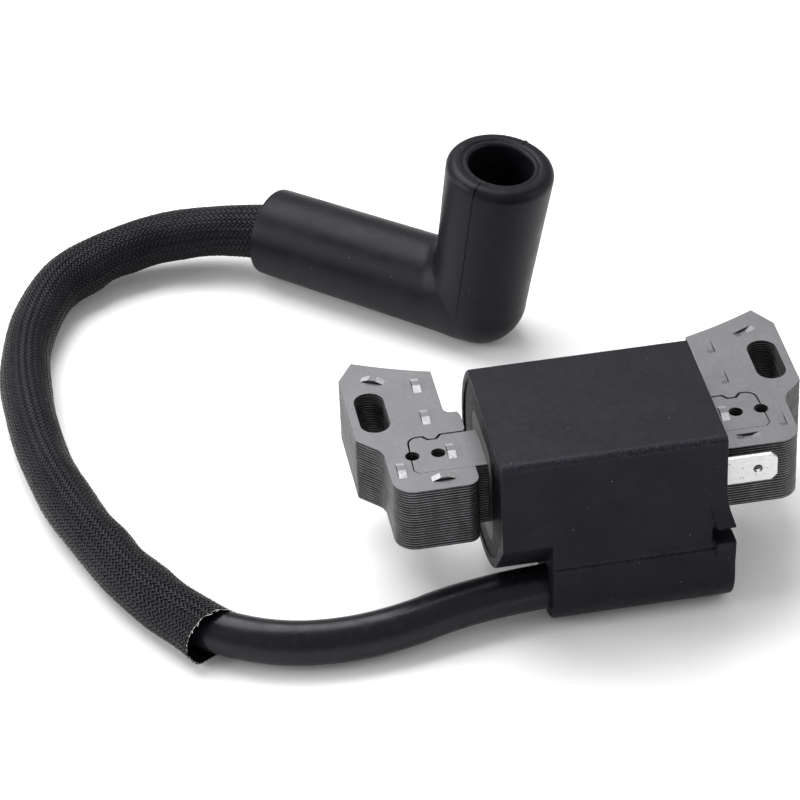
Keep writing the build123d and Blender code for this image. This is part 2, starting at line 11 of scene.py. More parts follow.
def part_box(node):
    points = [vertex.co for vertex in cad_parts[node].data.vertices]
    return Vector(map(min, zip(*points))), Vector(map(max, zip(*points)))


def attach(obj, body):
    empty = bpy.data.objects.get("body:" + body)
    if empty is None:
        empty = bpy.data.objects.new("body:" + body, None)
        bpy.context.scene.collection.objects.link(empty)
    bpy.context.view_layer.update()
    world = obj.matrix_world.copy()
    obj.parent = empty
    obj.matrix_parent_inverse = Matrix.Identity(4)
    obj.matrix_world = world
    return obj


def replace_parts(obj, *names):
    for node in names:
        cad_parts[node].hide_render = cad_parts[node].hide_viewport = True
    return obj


# Ignition coil with its sleeved lead and spark plug boot. Metres, +Z up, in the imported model's frame.
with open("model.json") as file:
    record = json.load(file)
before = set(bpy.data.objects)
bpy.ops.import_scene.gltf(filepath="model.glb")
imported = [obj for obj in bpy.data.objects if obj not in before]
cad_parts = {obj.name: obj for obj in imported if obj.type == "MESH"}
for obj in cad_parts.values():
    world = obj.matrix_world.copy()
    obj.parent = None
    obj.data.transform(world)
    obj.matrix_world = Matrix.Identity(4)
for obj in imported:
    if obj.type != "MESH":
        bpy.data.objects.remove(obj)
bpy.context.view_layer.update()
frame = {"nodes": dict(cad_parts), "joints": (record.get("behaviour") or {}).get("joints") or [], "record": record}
MM = 0.001
random.seed(7)

# ------------------------------------------------------------------ sizes shared with the CAD

CASE_TOP = 33.25 * MM
CASE_FRONT = -21.6 * MM
TOWER_SHOULDER = 12.4 * MM
CORE_BOTTOM = 13.57 * MM
SHEET_PITCH = 0.47 * MM
SHEET_THICKNESS = 0.45 * MM

BOOT_HINGE = next(j for j in frame["joints"] if j["name"] == "boot_swivel")
ARM_ORIGIN = Vector(BOOT_HINGE["pos_m"])
ARM_DIRECTION = Vector(BOOT_HINGE["axis"]).normalized()
ARM_LENGTH = 42.2 * MM
ARM_RADIUS = 7.65 * MM
ARM_MOUTH = ARM_ORIGIN + ARM_DIRECTION * ARM_LENGTH
SOCKET_MOUNT = next(m for m in frame["record"]["mounts"] if m["name"] == "plug_socket")
BARREL_AXIS = Vector(SOCKET_MOUNT["axis"]).normalized()
BARREL_HEIGHT = 28.1 * MM
RIM_RADIUS = 9.2 * MM
RIM_FILLET = 1.6 * MM
ELBOW = Vector((-4.6, 59.5, 8.1)) * MM
ELBOW_RADIUS = 8.1 * MM

LEAD_RADIUS = 3.5 * MM
LEAD_START = Vector((1.5, -16.2, 5.45)) * MM
LEAD_IN_BOOT = 20.5 * MM
LEAD_END = ARM_MOUTH - ARM_DIRECTION * LEAD_IN_BOOT
SLEEVE_RADIUS = 4.05 * MM
SLEEVE_Z = 4.25
ROUTE = [
    LEAD_START,
    Vector((-18.2, -16.2, 5.45)) * MM,
    Vector((-37.3, -21.2, 3.8)) * MM,
    Vector((-54.8, -19.7, SLEEVE_Z)) * MM,
    Vector((-69.0, -7.5, SLEEVE_Z)) * MM,
    Vector((-78.8, 17.2, SLEEVE_Z)) * MM,
    Vector((-83.7, 41.3, SLEEVE_Z)) * MM,
    Vector((-82.8, 69.0, SLEEVE_Z)) * MM,
    Vector((-70.6, 90.6, 5.2)) * MM,
    ARM_MOUTH + ARM_DIRECTION * 6.5 * MM,
    LEAD_END,
]


# ------------------------------------------------------------------ shader helpers

COOL_GLOSS = (0.93, 0.9, 1.0)


class Shader:
    """A material built from nodes, with short names for the nodes that it is made of."""

    def __init__(self, name, colour, roughness, metallic=0.0, specular=0.5, tint=(1, 1, 1)):
        self.material = bpy.data.materials.new(name)
        self.material.use_nodes = True
        self.nodes = self.material.node_tree.nodes
        self.links = self.material.node_tree.links
        self.surface = self.nodes["Principled BSDF"]
        self.surface.inputs["Base Color"].default_value = (*colour, 1)
        self.surface.inputs["Roughness"].default_value = roughness
        self.surface.inputs["Metallic"].default_value = metallic
        self.surface.inputs["Specular IOR Level"].default_value = specular
        self.surface.inputs["Specular Tint"].default_value = (*tint, 1)
        self.place = self.nodes.new("ShaderNodeTexCoord").outputs["Object"]

    def node(self, kind, inputs, **settings):
        made = self.nodes.new(kind)
        for key, value in settings.items():
            setattr(made, key, value)
        for key, value in inputs.items():
            if isinstance(value, bpy.types.NodeSocket):
                self.links.new(value, made.inputs[key])
            else:
                made.inputs[key].default_value = value
        return made

    def stretched(self, scale):
        """Places for a texture that is squeezed by these factors, so a small one draws it out."""
        return self.node("ShaderNodeMapping", {"Vector": self.place, "Scale": scale}).outputs[0]

    def noise(self, size, detail=3.0, roughness=0.55, at=None):
        """Noise whose blotches are about this many metres across, from 0 to 1."""
        inputs = {"Vector": at or self.place, "Scale": 1 / size, "Detail": detail, "Roughness": roughness}
        return self.node("ShaderNodeTexNoise", inputs).outputs["Fac"]

    def cells(self, size):
        """Distance to the nearest of points scattered about this many metres apart, 0 at the point."""
        inputs = {"Vector": self.place, "Scale": 1 / size}
        return self.node("ShaderNodeTexVoronoi", inputs).outputs["Distance"]

    def spread(self, value, low, high, to_low=0.0, to_high=1.0):
        """The value's stretch from low to high, laid over to_low to to_high."""
        inputs = {0: value, 1: low, 2: high, 3: to_low, 4: to_high}
        return self.node("ShaderNodeMapRange", inputs).outputs[0]

    def math(self, operation, a, b=0.0):
        return self.node("ShaderNodeMath", {0: a, 1: b}, operation=operation).outputs[0]

    def blend(self, share, a, b):
        """The colour that is a where the share is 0, and b where it is 1."""
        a = a if isinstance(a, bpy.types.NodeSocket) else (*a, 1)
        b = b if isinstance(b, bpy.types.NodeSocket) else (*b, 1)
        return self.node("ShaderNodeMix", {0: share, 6: a, 7: b}, data_type="RGBA").outputs[2]

    def colour(self, value):
        self.links.new(value, self.surface.inputs["Base Color"])

    def roughness(self, value):
        self.links.new(value, self.surface.inputs["Roughness"])

    def bump(self, height, depth, onto=None):
        """Relief of this depth in metres."""
        inputs = {"Height": height, "Distance": depth, "Strength": 1.0}
        if onto:
            inputs["Normal"] = onto
        self.links.new(self.node("ShaderNodeBump", inputs).outputs[0], self.surface.inputs["Normal"])

    def rounded(self, radius):
        """The normals of a surface whose sharp corners are rounded to this radius in metres."""
        return self.node("ShaderNodeBevel", {"Radius": radius}, samples=4).outputs[0]

    def normal_z(self):
        """1 on faces that look up or down, 0 on upright ones."""
        geometry = self.nodes.new("ShaderNodeNewGeometry").outputs["True Normal"]
        return self.math("ABSOLUTE", self.node("ShaderNodeSeparateXYZ", {0: geometry}).outputs[2])


def core_steel():
    """Electrical steel: satin faces with rolling marks. The sheared edges are painted dark as shade, with a
    painted highlight line across each sheet, and the lance slopes carry a painted highlight.
    """
    s = Shader("core_steel", (0.3, 0.3, 0.305), 0.5, metallic=0.6, specular=0.3)
    grain = s.noise(0.22 * MM, 4.0, 0.7, s.stretched((1.0, 0.15, 1.0)))
    blotch = s.noise(5 * MM, 3.0, 0.6)
    face = s.blend(s.spread(grain, 0.3, 0.7), (0.135, 0.134, 0.142), (0.19, 0.188, 0.197))
    face = s.blend(s.spread(blotch, 0.4, 0.75, 0.0, 0.35), face, (0.115, 0.114, 0.12))
    # Painted shade and painted highlight on the sheared edges: the edge colour is dark, partly for the sheets'
    # insulating coat and the gaps between them and partly as painted shade, with a bright painted highlight line
    # across the upper part of each sheet, broken up in patches.
    height = s.node("ShaderNodeSeparateXYZ", {0: s.place}).outputs[2]
    sheet = s.math("FRACT", s.math("DIVIDE", s.math("SUBTRACT", height, CORE_BOTTOM), SHEET_PITCH))
    line = s.math("MULTIPLY", s.spread(sheet, 0.5, 0.62), s.spread(sheet, 0.84, 0.72))
    patchiness = s.spread(s.noise(1.6 * MM, 4.0, 0.65, s.stretched((1.0, 1.0, 0.4))), 0.3, 0.65, 0.35, 1.0)
    edge = s.blend(s.math("MULTIPLY", line, patchiness), (0.005, 0.005, 0.006), (0.31, 0.305, 0.32))
    # Upright faces take the painted-shade edge colour; faces that look up or down keep the steel face colour.
    steep = s.normal_z()
    # Painted highlight: the sloped faces of the lances are coloured bright, made patchy by noise.
    lanced = s.math("MULTIPLY", s.spread(steep, 0.95, 0.93), s.spread(steep, 0.84, 0.9))
    lance_highlight = s.math("MULTIPLY", lanced, s.spread(s.noise(0.5 * MM, 3.0, 0.7), 0.3, 0.65, 0.35, 0.9))
    face = s.blend(lance_highlight, face, (0.55, 0.55, 0.56))
    s.colour(s.blend(s.spread(steep, 0.6, 0.8), edge, face))
    s.roughness(s.spread(grain, 0.25, 0.75, 0.4, 0.58))
    s.bump(grain, 0.015 * MM)
    return s.material


def black_plastic():
    """Moulded glass filled nylon: a fine grain and dust in the grain. The front top edge is lighter as rubbed wear
    with a painted highlight, and the tower's shoulder crease carries a painted highlight.
    """
    s = Shader("case_plastic", (0.008, 0.008, 0.011), 0.46, specular=0.13, tint=COOL_GLOSS)
    grain = s.noise(0.3 * MM, 2.0, 0.5)
    swirl = s.noise(9 * MM, 4.0, 0.6)
    speck = s.spread(s.cells(2.2 * MM), 0.04, 0.03)
    base = s.blend(s.spread(swirl, 0.35, 0.7), (0.0055, 0.0052, 0.008), (0.0095, 0.009, 0.013))
    place = s.node("ShaderNodeSeparateXYZ", {0: s.place}).outputs
    ahead = s.math("ABSOLUTE", s.math("SUBTRACT", place[1], CASE_FRONT))
    patchiness = s.spread(s.noise(0.35 * MM, 4.0, 0.8), 0.42, 0.72)
    # Lighter bands along the front: at the top edge rubbed wear plus a painted highlight, at the tower shoulder
    # crease a painted highlight only.
    for level, width, strength in ((CASE_TOP, 1.3 * MM, 0.8), (TOWER_SHOULDER, 1.0 * MM, 0.45)):
        away = s.math("ADD", s.math("ABSOLUTE", s.math("SUBTRACT", place[2], level)), ahead)
        rub_and_highlight = s.math("MULTIPLY", s.spread(away, width, 0.3 * width), patchiness)
        base = s.blend(s.math("MULTIPLY", rub_and_highlight, strength), base, (0.055, 0.054, 0.066))
    s.colour(s.blend(speck, base, (0.2, 0.2, 0.2)))
    s.roughness(s.spread(s.noise(1.4 * MM, 4.0), 0.3, 0.7, 0.38, 0.56))
    s.bump(grain, 0.03 * MM, s.rounded(0.3 * MM))
    return s.material


def epoxy():
    s = Shader("potting", (0.004, 0.004, 0.005), 0.45, specular=0.05)
    ripple = s.noise(6 * MM, 1.0)
    s.roughness(s.spread(s.noise(0.8 * MM), 0.3, 0.7, 0.38, 0.5))
    s.colour(s.blend(s.spread(ripple, 0.4, 0.7), (0.0015, 0.0015, 0.002), (0.004, 0.004, 0.005)))
    s.bump(ripple, 0.03 * MM)
    return s.material


def boot_rubber():
    """Moulded rubber: satin, slightly cloudy, with dust specks."""
    s = Shader("boot_rubber", (0.006, 0.006, 0.008), 0.42, specular=0.15, tint=COOL_GLOSS)
    cloud = s.noise(5 * MM, 4.0, 0.65)
    fine = s.noise(0.35 * MM, 3.0, 0.6)
    speck = s.spread(s.cells(2.8 * MM), 0.035, 0.025)
    base = s.blend(s.spread(cloud, 0.35, 0.7), (0.003, 0.003, 0.0045), (0.0075, 0.007, 0.010))
    s.colour(s.blend(speck, base, (0.15, 0.15, 0.15)))
    s.roughness(s.spread(cloud, 0.3, 0.7, 0.34, 0.48))
    s.bump(fine, 0.015 * MM)
    return s.material


def lead_jacket():
    s = Shader("lead_jacket", (0.005, 0.005, 0.006), 0.3, specular=0.26, tint=COOL_GLOSS)
    rub_and_highlight = s.noise(1.2 * MM, 5.0, 0.7)
    s.colour(s.blend(s.spread(rub_and_highlight, 0.55, 0.8), (0.004, 0.004, 0.006), (0.015, 0.015, 0.018)))
    s.roughness(s.spread(s.noise(2.5 * MM, 4.0), 0.3, 0.7, 0.24, 0.4))
    s.bump(s.noise(1.6 * MM, 2.0), 0.03 * MM)
    return s.material


def braid_yarn():
    """Glass yarn with a black varnish: bundles of fine filaments with a glossy top."""
    s = Shader("sleeve_braid", (0.006, 0.006, 0.008), 0.34, specular=0.17, tint=COOL_GLOSS)
    wear = s.noise(0.6 * MM, 4.0, 0.7)
    patch = s.noise(7 * MM, 3.0)
    base = s.blend(s.spread(patch, 0.35, 0.7), (0.003, 0.003, 0.004), (0.007, 0.007, 0.0085))
    s.colour(s.blend(s.spread(wear, 0.62, 0.8, 0.0, 0.6), base, (0.05, 0.05, 0.055)))
    s.roughness(s.spread(wear, 0.3, 0.7, 0.26, 0.44))
    s.bump(s.noise(0.12 * MM, 2.0), 0.015 * MM)
    return s.material


def glass_fibre():
    s = Shader("cut_fibre", (0.55, 0.54, 0.5), 0.5)
    s.colour(s.blend(s.noise(0.4 * MM), (0.25, 0.25, 0.24), (0.75, 0.74, 0.7)))
    return s.material


def tin_plate():
    """Tin plated brass blade: bright, with small pits and rub marks along its length."""
    s = Shader("tinned_brass", (0.7, 0.7, 0.7), 0.34, metallic=0.85)
    streak = s.noise(0.5 * MM, 4.0, 0.7, s.stretched((0.3, 1.0, 1.0)))
    pitted_area = s.spread(s.noise(1.2 * MM, 3.0), 0.45, 0.6)
    pit = s.math("MULTIPLY", s.spread(s.cells(0.55 * MM), 0.3, 0.16), pitted_area)
    face = s.blend(s.spread(streak, 0.3, 0.7), (0.56, 0.55, 0.56), (0.74, 0.73, 0.74))
    s.colour(s.blend(s.math("MULTIPLY", pit, 0.7), face, (0.26, 0.25, 0.24)))
    s.roughness(s.spread(streak, 0.3, 0.7, 0.28, 0.5))
    s.bump(s.math("SUBTRACT", s.noise(0.7 * MM, 3.0), pit), 0.03 * MM)
    return s.material


def enamelled_copper():
    s = Shader("copper", (0.45, 0.16, 0.07), 0.35, metallic=0.9)
    turns = s.noise(0.3 * MM, 2.0, 0.5, s.stretched((1.0, 0.05, 0.05)))
    s.colour(s.blend(turns, (0.35, 0.11, 0.045), (0.6, 0.26, 0.12)))
    s.bump(turns, 0.05 * MM)
    return s.material


def plain(name, colour, roughness, metallic=0.0):
    """A quiet moulded or stamped finish for the pieces inside the case."""
    s = Shader(name, colour, roughness, metallic)
    tone = s.noise(1.5 * MM, 3.0)
    darker = tuple(0.75 * c for c in colour)
    lighter = tuple(min(1.0, 1.2 * c) for c in colour)
    s.colour(s.blend(s.spread(tone, 0.3, 0.7), darker, lighter))
    s.bump(s.noise(0.3 * MM), 0.01 * MM)
    return s.material


MATERIALS = {
    "core_steel": core_steel(),
    "case_plastic": black_plastic(),
    "potting": epoxy(),
    "boot_rubber": boot_rubber(),
    "lead_jacket": lead_jacket(),
    "sleeve_braid": braid_yarn(),
    "tinned_brass": tin_plate(),
    "copper": enamelled_copper(),
    "tinned_steel": plain("tinned_steel", (0.6, 0.6, 0.6), 0.35, 0.8),
    "bobbin_plastic": plain("bobbin_plastic", (0.05, 0.05, 0.05), 0.5),
    "circuit_board": plain("circuit_board", (0.02, 0.12, 0.05), 0.4),
    "component_black": plain("component_black", (0.02, 0.02, 0.02), 0.45),
    "capacitor_tan": plain("capacitor_tan", (0.5, 0.3, 0.14), 0.4),
}
SLOT_OF = {row["node"]: row["material_slot"] for row in frame["record"]["subparts"]}
BODY_OF = {node: body for body, nodes in frame["record"]["behaviour"]["bodies"].items() for node in nodes}

for name, node in frame["nodes"].items():
    node.data.materials.clear()
    node.data.materials.append(MATERIALS[SLOT_OF[name]])


# ------------------------------------------------------------------ mesh helpers

ROUNDED_ANGLE = 40
CORNER_ANGLE = 50


def even_normals(mesh):
    """Shades a bevelled mesh so that its large faces look flat and only its rounded edges turn the light."""
    total = np.zeros((len(mesh.vertices), 3))
    for face in mesh.polygons:
        total[list(face.vertices)] += np.array(face.normal) * face.area
    length = np.linalg.norm(total, axis=1)[:, None]
    mesh.normals_split_custom_set_from_vertices(total / np.where(length > 0, length, 1))


def new_piece(name, mesh, slot, body, material=None, flat_faces=False):
    """Puts a finished mesh into the scene as a piece, smooth all over or with its large faces flat."""
    piece = bpy.data.objects.new(name, mesh)
    bpy.context.scene.collection.objects.link(piece)
    mesh.materials.clear()
    mesh.materials.append(material or MATERIALS[slot])
    mesh.shade_smooth()
    if flat_faces:
        even_normals(mesh)
    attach(piece, body)
    return piece


def cad_copy(node):
    """The CAD node's mesh with its corners joined up and its flat faces in one piece."""
    made = bmesh.new()
    made.from_mesh(frame["nodes"][node].data)
    bmesh.ops.remove_doubles(made, verts=made.verts, dist=0.001 * MM)
    bmesh.ops.dissolve_limit(made, angle_limit=math.radians(0.5), verts=made.verts, edges=made.edges)
    return made


def sharp_edges(made, angle):
    """The edges where two faces meet at more than this angle in degrees."""
    limit = math.radians(angle)
    return [e for e in made.edges if len(e.link_faces) == 2 and e.calc_face_angle(0) > limit]


def part_at_corners(made):
    """Takes the faces apart where they meet at a sharp corner, so that neither shades the other."""
    bmesh.ops.split_edges(made, edges=sharp_edges(made, CORNER_ANGLE))


def bevelled(made, edges, width, profile):
    """Rounds these edges over this width, and leaves no shading to run over the sharp corners that are left."""
    bmesh.ops.bevel(
        made,
        geom=edges,
        offset=width,
        segments=2,
        profile=profile,
        affect="EDGES",
        clamp_overlap=False,
    )
    part_at_corners(made)


def softened(node, width, smallest):
    """Stands for a CAD node, with sharp edges rounded over this width, apart from those of the smallest faces."""
    made = cad_copy(node)
    edges = [e for e in sharp_edges(made, ROUNDED_ANGLE) if min(f.calc_area() for f in e.link_faces) > smallest]
    bevelled(made, edges, width, profile=0.5)
    mesh = bpy.data.meshes.new(node + "_soft")
    made.to_mesh(mesh)
    made.free()
    piece = new_piece(node + "_finished", mesh, SLOT_OF[node], BODY_OF[node], flat_faces=True)
    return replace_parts(piece, node)


# ------------------------------------------------------------------ core

SHEET_JITTER = 0.03 * MM
ROLLOVER = 0.11 * MM
END_SHEETS = 1.2 * MM
LANCE_STEEPEST = 0.8
LANCE_FLATTEST = 0.985


def is_sheared(face):
    """Whether the face is part of a sheet's sheared edge: upright, and as high as a sheet is thick."""
    levels = [v.co.z for v in face.verts]
    return abs(face.normal.z) < 0.1 and abs(max(levels) - min(levels) - SHEET_THICKNESS) < 0.02 * MM


def is_lanced(face):
    """Whether the face is a slope of a lance."""
    return LANCE_STEEPEST < abs(face.normal.z) < LANCE_FLATTEST


def finished_stack(node):
    """A stack of punched sheets: each edge is rolled over by the punch, and no two sheets line up exactly."""
    made = cad_copy(node)
    bent = [e for e in made.edges if any(is_lanced(f) for f in e.link_faces)]
    bmesh.ops.split_edges(made, edges=bent)
    rims = [
        e for e in made.edges
        if len(e.link_faces) == 2
        and {abs(round(f.normal.z)) for f in e.link_faces} == {0, 1}
        and any(is_sheared(f) for f in e.link_faces)
    ]
    bevelled(made, rims, ROLLOVER, profile=0.6)
    low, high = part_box(node)
    for verts in sheet_islands(made):
        middle = sum(v.co.z for v in verts) / len(verts)
        if low.z + END_SHEETS < middle < high.z - END_SHEETS:
            shift = Vector((random.uniform(-1, 1), random.uniform(-1, 1), 0)) * SHEET_JITTER
            for v in verts:
                v.co += shift
    mesh = bpy.data.meshes.new(node + "_stack")
    made.to_mesh(mesh)
    made.free()
    piece = new_piece(node + "_finished", mesh, SLOT_OF[node], BODY_OF[node], flat_faces=True)
    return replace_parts(piece, node)


def sheet_islands(made):
    """The vertices of each separate sheet, in the mesh's own order."""
    seen = set()
    islands = []
    for first in made.verts:
        if first in seen:
            continue
        seen.add(first)
        queue = [first]
        island = [first]
        while queue:
            for e in queue.pop().link_edges:
                for v in e.verts:
                    if v not in seen:
                        seen.add(v)
                        queue.append(v)
                        island.append(v)
        islands.append(island)
    return islands


for node in ("left_pole_laminations", "right_pole_laminations", "core_bar_laminations"):
    finished_stack(node)

softened("coil_case", width=0.2 * MM, smallest=3 * MM**2)
softened("kill_terminal", width=0.1 * MM, smallest=0.3 * MM**2)


# ------------------------------------------------------------------ lead


def spline_curve(name, points, radius):
    curve = bpy.data.curves.new(name, "CURVE")
    curve.dimensions = "3D"
    curve.resolution_u = 24
    curve.bevel_depth = radius
    curve.bevel_resolution = 10
    curve.use_fill_caps = radius > 0
    spline = curve.splines.new("NURBS")
    spline.points.add(len(points) - 1)
    for target, point in zip(spline.points, points):
        target.co = (*point, 1)
    spline.order_u = 3
    spline.use_endpoint_u = True
    return curve


def spline_points(points):
    """The points of the smooth line that these control points make."""
    holder = bpy.data.objects.new("line", spline_curve("line", points, 0))
    bpy.context.scene.collection.objects.link(holder)
    bpy.context.view_layer.update()
    mesh = bpy.data.meshes.new_from_object(holder.evaluated_get(bpy.context.evaluated_depsgraph_get()))
    line = np.array([v.co for v in mesh.vertices], float)
    bpy.data.objects.remove(holder)
    return line


class Path:
    """A line measured along its length, with a frame that doesn't twist."""

    def __init__(self, line):
        steps = np.linalg.norm(np.diff(line, axis=0), axis=1)
        keep = np.r_[True, steps > 1e-9]
        self.line = line[keep]
        self.reach = np.r_[0, np.cumsum(np.linalg.norm(np.diff(self.line, axis=0), axis=1))]
        self.length = self.reach[-1]
        tangent = np.gradient(self.line, self.reach, axis=0)
        self.tangent = tangent / np.linalg.norm(tangent, axis=1)[:, None]
        side = np.cross([0.0, 0.0, 1.0], self.tangent)
        self.side = side / np.linalg.norm(side, axis=1)[:, None]

    def at(self, s, values):
        return np.stack([np.interp(s, self.reach, values[:, i]) for i in range(3)], axis=-1)

    def frame(self, s):
        """Centre, tangent, sideways and upward directions at these lengths."""
        t = self.at(s, self.tangent)
        t /= np.linalg.norm(t, axis=-1)[..., None]
        side = self.at(s, self.side)
        side /= np.linalg.norm(side, axis=-1)[..., None]
        return self.at(s, self.line), t, side, np.cross(t, side)


line = spline_points(ROUTE)
lead_path = Path(line)
lead = bpy.data.objects.new("ignition_lead", spline_curve("ignition_lead", ROUTE, LEAD_RADIUS))
bpy.context.scene.collection.objects.link(lead)
lead.data.materials.append(MATERIALS["lead_jacket"])
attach(lead, "coil")
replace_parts(lead, "lead_insulation", "lead_conductor")


# ------------------------------------------------------------------ braided sleeve


def nearest_length(path, point):
    return path.reach[np.argmin(np.linalg.norm(path.line - np.array(point), axis=1))]


CUT_PLACE = Vector((-60.5, -16.3, 4.1)) * MM
mouth_length = nearest_length(lead_path, ARM_MOUTH)
cut_length = nearest_length(lead_path, CUT_PLACE)
SLEEVE_LENGTH = mouth_length - cut_length - 1.2 * MM
STRAIGHT = 9 * MM
CUT_SKEW = 1.3 * MM
FLARE_LENGTH = 4.5 * MM
FLARE_WIDTH = 0.75 * MM
FLARE_ASIDE = 0.6 * MM
FLARE_DROP = np.array([0, 0, 0.1 * MM])
SLACK_LENGTH = 9 * MM
SLACK_WIDTH = 0.45 * MM
SLACK_RISE = 1.3 * MM
STRANDS = 40
BRAID_PITCH = 38 * MM
YARN_WIDTH = 0.56 * MM
YARN_HEIGHT = 0.2 * MM
YARN_SECTION = [(-0.5, 0.0), (-0.2, 0.5), (0.2, 0.5), (0.5, 0.0), (0.0, -0.4)]
STEPS_PER_CROSSING = 1.6
FLOOR_GAP = 0.04 * MM
# Bunches on the inside of the bends: where along the sleeve, how long and how high
BUNCHES = [
    (17 * MM, 6.0 * MM, 1.1 * MM),
    (29 * MM, 4.0 * MM, 0.6 * MM),
    (112 * MM, 4.0 * MM, 1.0 * MM),
    (121 * MM, 3.5 * MM, 0.9 * MM),
    (131 * MM, 4.5 * MM, 0.7 * MM),
]


def sleeve_surface(u, angle, lift):
    """A point of the sleeve: u along it from its cut end, angle around it, lift outside its middle surface.

    Near its cut end, which is askew, it runs straight on and flares while the lead bends away inside it."""
    flare = np.exp(-u / FLARE_LENGTH)
    u = u + CUT_SKEW * flare * (1 + np.cos(angle)) / 2
    s = np.clip(cut_length + np.maximum(u, STRAIGHT), 0, mouth_length)
    centre, tangent, side, up = lead_path.frame(s)
    centre = centre + tangent * np.minimum(u - STRAIGHT, 0)[..., None]
    bunch = 0.0
    for middle, width, height in BUNCHES:
        bunch = bunch + height * np.exp(-(((u - middle) / width) ** 2))
    wobble = 0.10 * MM * np.sin(u / (5.3 * MM) + 1.3 * np.sin(angle))
    wobble = wobble + 0.07 * MM * np.sin(u / (2.9 * MM) + 2 * angle)
    slack = np.exp((u - SLEEVE_LENGTH) / SLACK_LENGTH)
    radius = SLEEVE_RADIUS + lift + wobble + FLARE_WIDTH * flare + SLACK_WIDTH * slack
    radius = radius + bunch * np.clip(-np.cos(angle), 0, 1) ** 2
    point = centre + (side * np.cos(angle)[..., None] + up * np.sin(angle)[..., None]) * radius[..., None]
    point = point + (side * FLARE_ASIDE - FLARE_DROP) * flare[..., None]
    point = point + up * (SLACK_RISE * slack)[..., None]
    point[..., 2] = np.maximum(point[..., 2], FLOOR_GAP + YARN_HEIGHT + lift)
    return point


def braid():
    """Flat yarns wound both ways round the sleeve, each over two and under two, in rows of stitches."""
    crossing = BRAID_PITCH / (2 * STRANDS)
    count = int(SLEEVE_LENGTH / crossing * STEPS_PER_CROSSING)
    u = np.linspace(0, SLEEVE_LENGTH, count)
    lean = math.atan(2 * math.pi * SLEEVE_RADIUS / BRAID_PITCH)
    n = len(YARN_SECTION)
    verts, faces = [], []
    for way in (1, -1):
        for i in range(STRANDS):
            turn = way * u * 2 * math.pi / BRAID_PITCH + 2 * math.pi * i / STRANDS
            fullness = random.uniform(0.4, 0.62) + 0.08 * np.sin(u / (3.1 * MM) + i)
            weave = way * fullness * YARN_HEIGHT * np.cos(math.pi / 2 * (turn * STRANDS / math.pi - 0.5))
            start = len(verts)
            rows = []
            for across, above in YARN_SECTION:
                shift = across * YARN_WIDTH
                angle = turn - way * shift * math.cos(lean) / SLEEVE_RADIUS
                along = np.clip(u + shift * math.sin(lean), 0, SLEEVE_LENGTH)
                rows.append(sleeve_surface(along, angle, weave + above * YARN_HEIGHT))
            verts.extend(map(tuple, np.stack(rows, axis=1).reshape(-1, 3)))
            for k in range(count - 1):
                a = start + k * n
                for j in range(n):
                    b = (j + 1) % n
                    faces.append((a + j, a + b, a + n + b, a + n + j))
            faces.append(tuple(start + j for j in range(n)))
            faces.append(tuple(start + (count - 1) * n + j for j in range(n)))
    mesh = bpy.data.meshes.new("sleeve_yarns")
    mesh.from_pydata(verts, [], faces)
    made = bmesh.new()
    made.from_mesh(mesh)
    bmesh.ops.recalc_face_normals(made, faces=made.faces)
    made.to_mesh(mesh)
    made.free()
    return mesh


sleeve = new_piece("sleeve_yarns", braid(), "sleeve_braid", "coil")
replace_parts(sleeve, "braided_sleeve")


def wire_mesh(name, lines, radius, sides=6):
    """Thin round wires or fibres along lists of points, joined into one mesh."""
    verts, faces = [], []
    for points in lines:
        points = [Vector(p) for p in points]
        start = len(verts)
        for k, point in enumerate(points):
            tangent = (points[min(k + 1, len(points) - 1)] - points[max(k - 1, 0)]).normalized()
            side = tangent.orthogonal().normalized()
            other = tangent.cross(side)
            for j in range(sides):
                a = 2 * math.pi * j / sides
                verts.append(point + (side * math.cos(a) + other * math.sin(a)) * radius)
        for k in range(len(points) - 1):
            for j in range(sides):
                a = start + k * sides + j
                b = start + k * sides + (j + 1) % sides
                faces.append((a, b, b + sides, a + sides))
        faces.append(tuple(start + j for j in reversed(range(sides))))
        faces.append(tuple(start + (len(points) - 1) * sides + j for j in range(sides)))
    mesh = bpy.data.meshes.new(name)
    mesh.from_pydata(verts, [], faces)
    return mesh


RIM_STEPS = 72
RIM_DRAWN = 70
LOOSE_FIBRES = 12
FIBRE_RADIUS = 0.055 * MM
FIBRE_LIFT = 0.3 * MM


def on_sleeve(u, angle, lift):
    return sleeve_surface(np.array([u]), np.array([angle]), np.array([lift]))[0]


def frayed_edge():
    """The sleeve's cut end: a pale line of cut glass filaments with a few loose ones."""
    rim = []
    for k in range(RIM_DRAWN):
        angle = 2 * math.pi * k / RIM_STEPS
        u = 0.05 * MM + 0.06 * MM * math.sin(5 * angle)
        rim.append(on_sleeve(u, angle, 0.04 * MM * math.sin(11 * angle)))
    lines = [rim]
    for _ in range(LOOSE_FIBRES):
        angle = random.gauss(0.7 * math.pi, 0.35 * math.pi)
        reach = random.uniform(0.4, 1.3) * MM
        bend = random.uniform(-0.25, 0.25)
        fibre = [on_sleeve(-reach * t, angle + bend * t * t, FIBRE_LIFT * t) for t in (0.0, 0.35, 0.7, 1.0)]
        lines.append(fibre)
    return lines


edge_mesh = wire_mesh("sleeve_cut_edge", frayed_edge(), FIBRE_RADIUS)
cut_edge = new_piece("sleeve_cut_edge", edge_mesh, "sleeve_braid", "coil", material=glass_fibre())


# ------------------------------------------------------------------ boot

